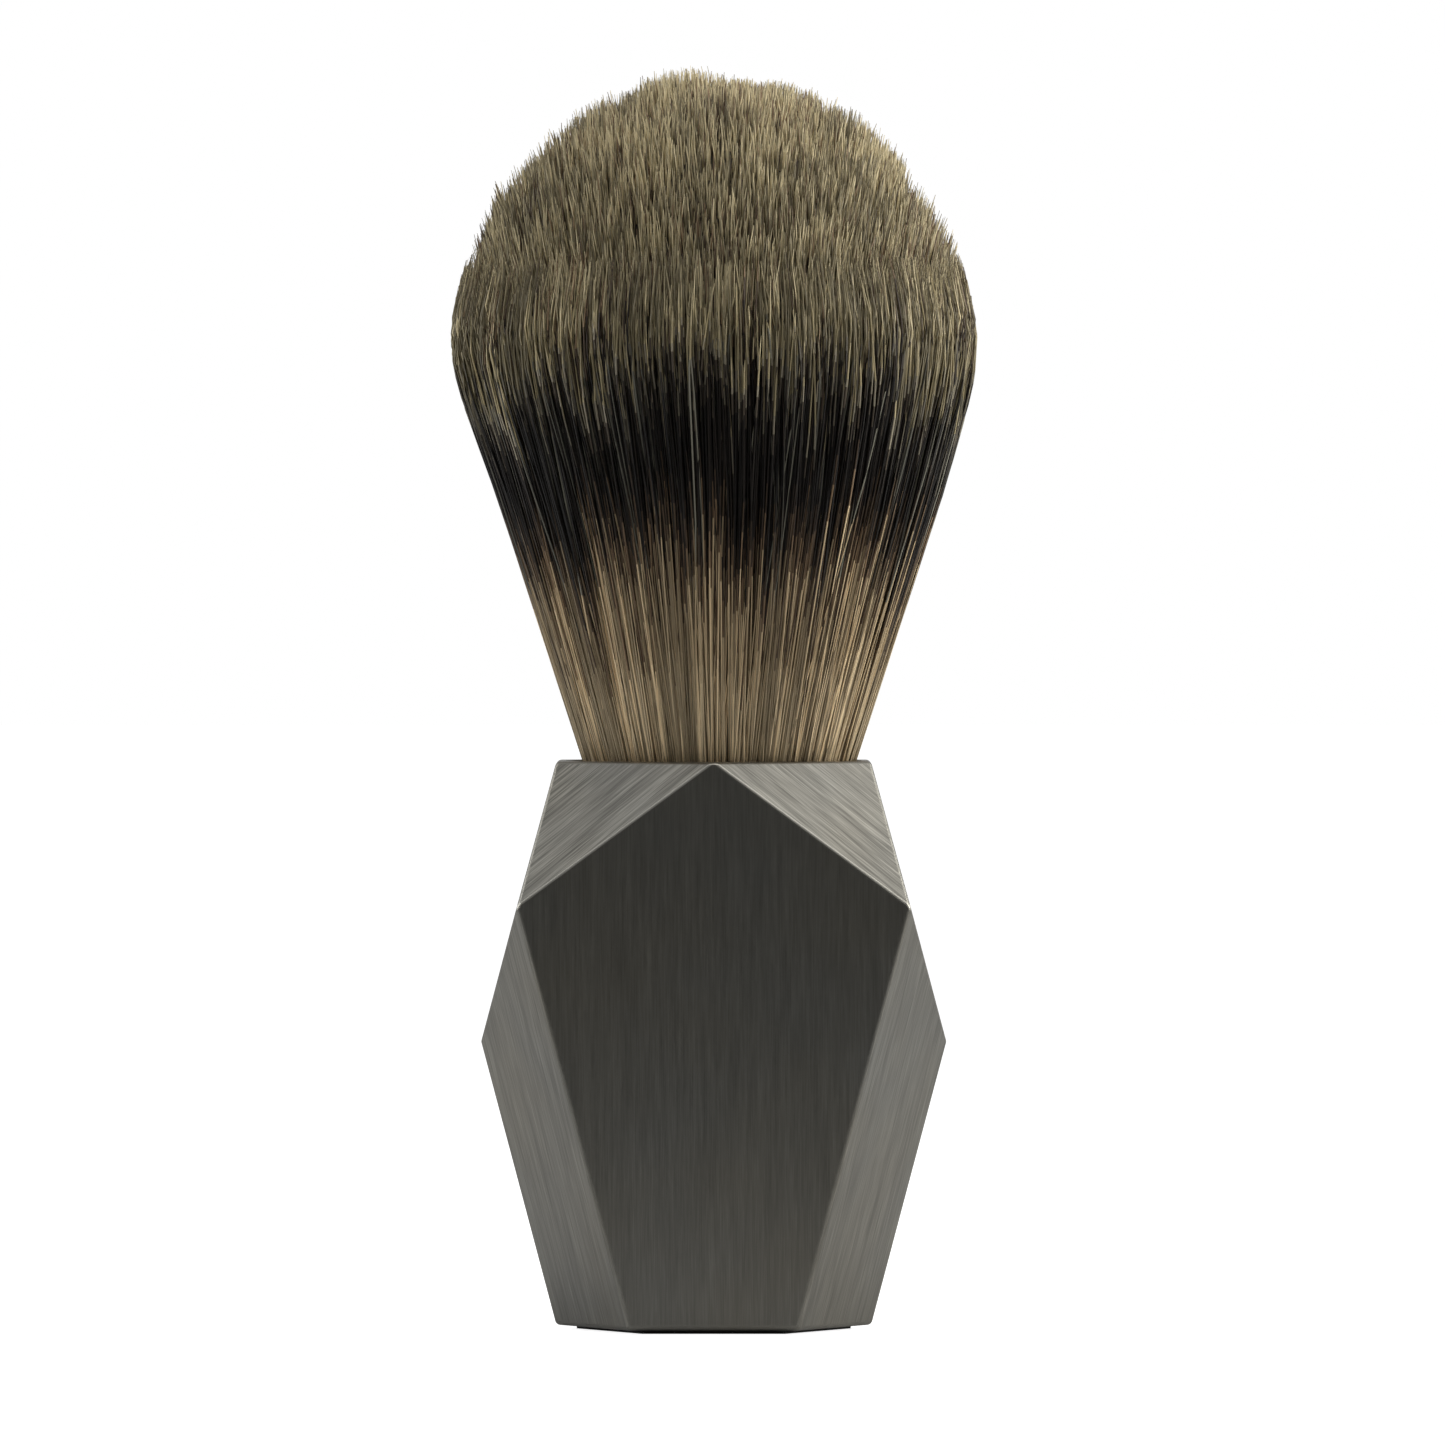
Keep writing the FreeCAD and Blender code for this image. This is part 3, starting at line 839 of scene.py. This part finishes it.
def make_floor():
    """A pale floor that looks white from above and clear from below."""
    material, shader = new_material("studio_floor")
    shader.inputs["Base Color"].default_value = (FLOOR_GREY, FLOOR_GREY, FLOOR_GREY, 1)
    shader.inputs["Roughness"].default_value = 0.9
    shader.inputs["Specular IOR Level"].default_value = 0.0
    shader.inputs["Emission Color"].default_value = (1, 1, 1, 1)
    graph = Graph(material)
    lit = graph.node("LightPath").outputs["Is Camera Ray"]
    graph.link(graph.spread(lit, 0.0, FLOOR_GLOW), shader.inputs["Emission Strength"])
    clear = graph.node("BsdfTransparent")
    side = graph.node("MixShader")
    graph.link(graph.node("NewGeometry").outputs["Backfacing"], side.inputs["Fac"])
    graph.link(shader.outputs[0], side.inputs[1])
    graph.link(clear.outputs[0], side.inputs[2])
    graph.link(side.outputs[0], material.node_tree.nodes["Material Output"].inputs["Surface"])
    sheet = ring_sheet("floor", FLOOR_HOLE, FLOOR_RADIUS, FLOOR_LEVEL)
    floor = add_piece("floor", sheet, [material])


def make_black_card():
    """A black card lying in front of the brush, which only its polished faces see."""
    black, shader = new_material("black_card")
    shader.inputs["Base Color"].default_value = (CARD_GREY, CARD_GREY, CARD_GREY, 1)
    shader.inputs["Roughness"].default_value = 1.0
    card = add_piece("black_card", flat_sheet("black_card", CARD_HALF, CARD_PLACE), [black])
    card.visible_camera = False
    card.visible_diffuse = False
    card.visible_shadow = False


def make_room():
    """A room that is pale all round and dark in front of the brush, with a white backdrop."""
    world = bpy.data.worlds.new("studio")
    bpy.context.scene.world = world
    world.use_nodes = True
    graph = Graph(world)
    ahead = graph.coordinates.outputs["Generated"]
    front = graph.vector("DOT_PRODUCT", ahead, FRONT_WAY)
    shaded = graph.node("MapRange", interpolation_type="SMOOTHSTEP")
    graph.link(front, shaded.inputs["Value"])
    shaded.inputs["From Min"].default_value = FRONT_FADE_START
    shaded.inputs["From Max"].default_value = FRONT_FADE_END
    shaded.inputs["To Min"].default_value = ROOM_BRIGHT
    shaded.inputs["To Max"].default_value = ROOM_DARK
    rightward = graph.vector("DOT_PRODUCT", ahead, RIGHT_WAY)
    leaning = graph.maths("MULTIPLY_ADD", rightward, ROOM_LEAN, 1.0)
    strength = graph.maths("MULTIPLY", shaded.outputs["Result"], leaning)
    room = world.node_tree.nodes["Background"]
    graph.link(strength, room.inputs["Strength"])
    room.inputs["Color"].default_value = (1, 1, 1, 1)
    seen = graph.node("Background")
    seen.inputs["Color"].default_value = (1, 1, 1, 1)
    path = graph.node("LightPath")
    mix = graph.node("MixShader")
    graph.link(path.outputs["Is Camera Ray"], mix.inputs["Fac"])
    graph.link(room.outputs[0], mix.inputs[1])
    graph.link(seen.outputs[0], mix.inputs[2])
    graph.link(mix.outputs[0], world.node_tree.nodes["World Output"].inputs["Surface"])


def make_lights():
    """Soft boxes above and beside the brush, and a low fill that the steel doesn't mirror."""
    for box in SOFT_BOXES:
        soft_box(*box)
    fill = soft_box(*FILL_BOX)
    fill.visible_glossy = False


def make_camera():
    """A long lens a little above the middle of the brush."""
    camera = bpy.data.cameras.new("camera")
    distance = 2.1
    frame_side = 1.151 * CROWN
    camera.sensor_width = 36.0
    camera.lens = camera.sensor_width * distance / frame_side
    camera.clip_start = 0.01
    eye = bpy.data.objects.new("camera", camera)
    bpy.context.scene.collection.objects.link(eye)
    pitch = math.radians(0.5)
    aim = Vector((0.77 * MM, 0, 0.4827 * CROWN))
    eye.location = aim + distance * Vector((0, -math.cos(pitch), math.sin(pitch)))
    eye.rotation_euler = (math.pi / 2 - pitch, 0, 0)
    bpy.context.scene.camera = eye


make_camera()
make_floor()
make_black_card()
make_room()
make_lights()
finish_parts()
make_hair_mass()
make_hair()

view = bpy.context.scene.view_settings
view.view_transform = "Standard"

bpy.context.view_layer.update()
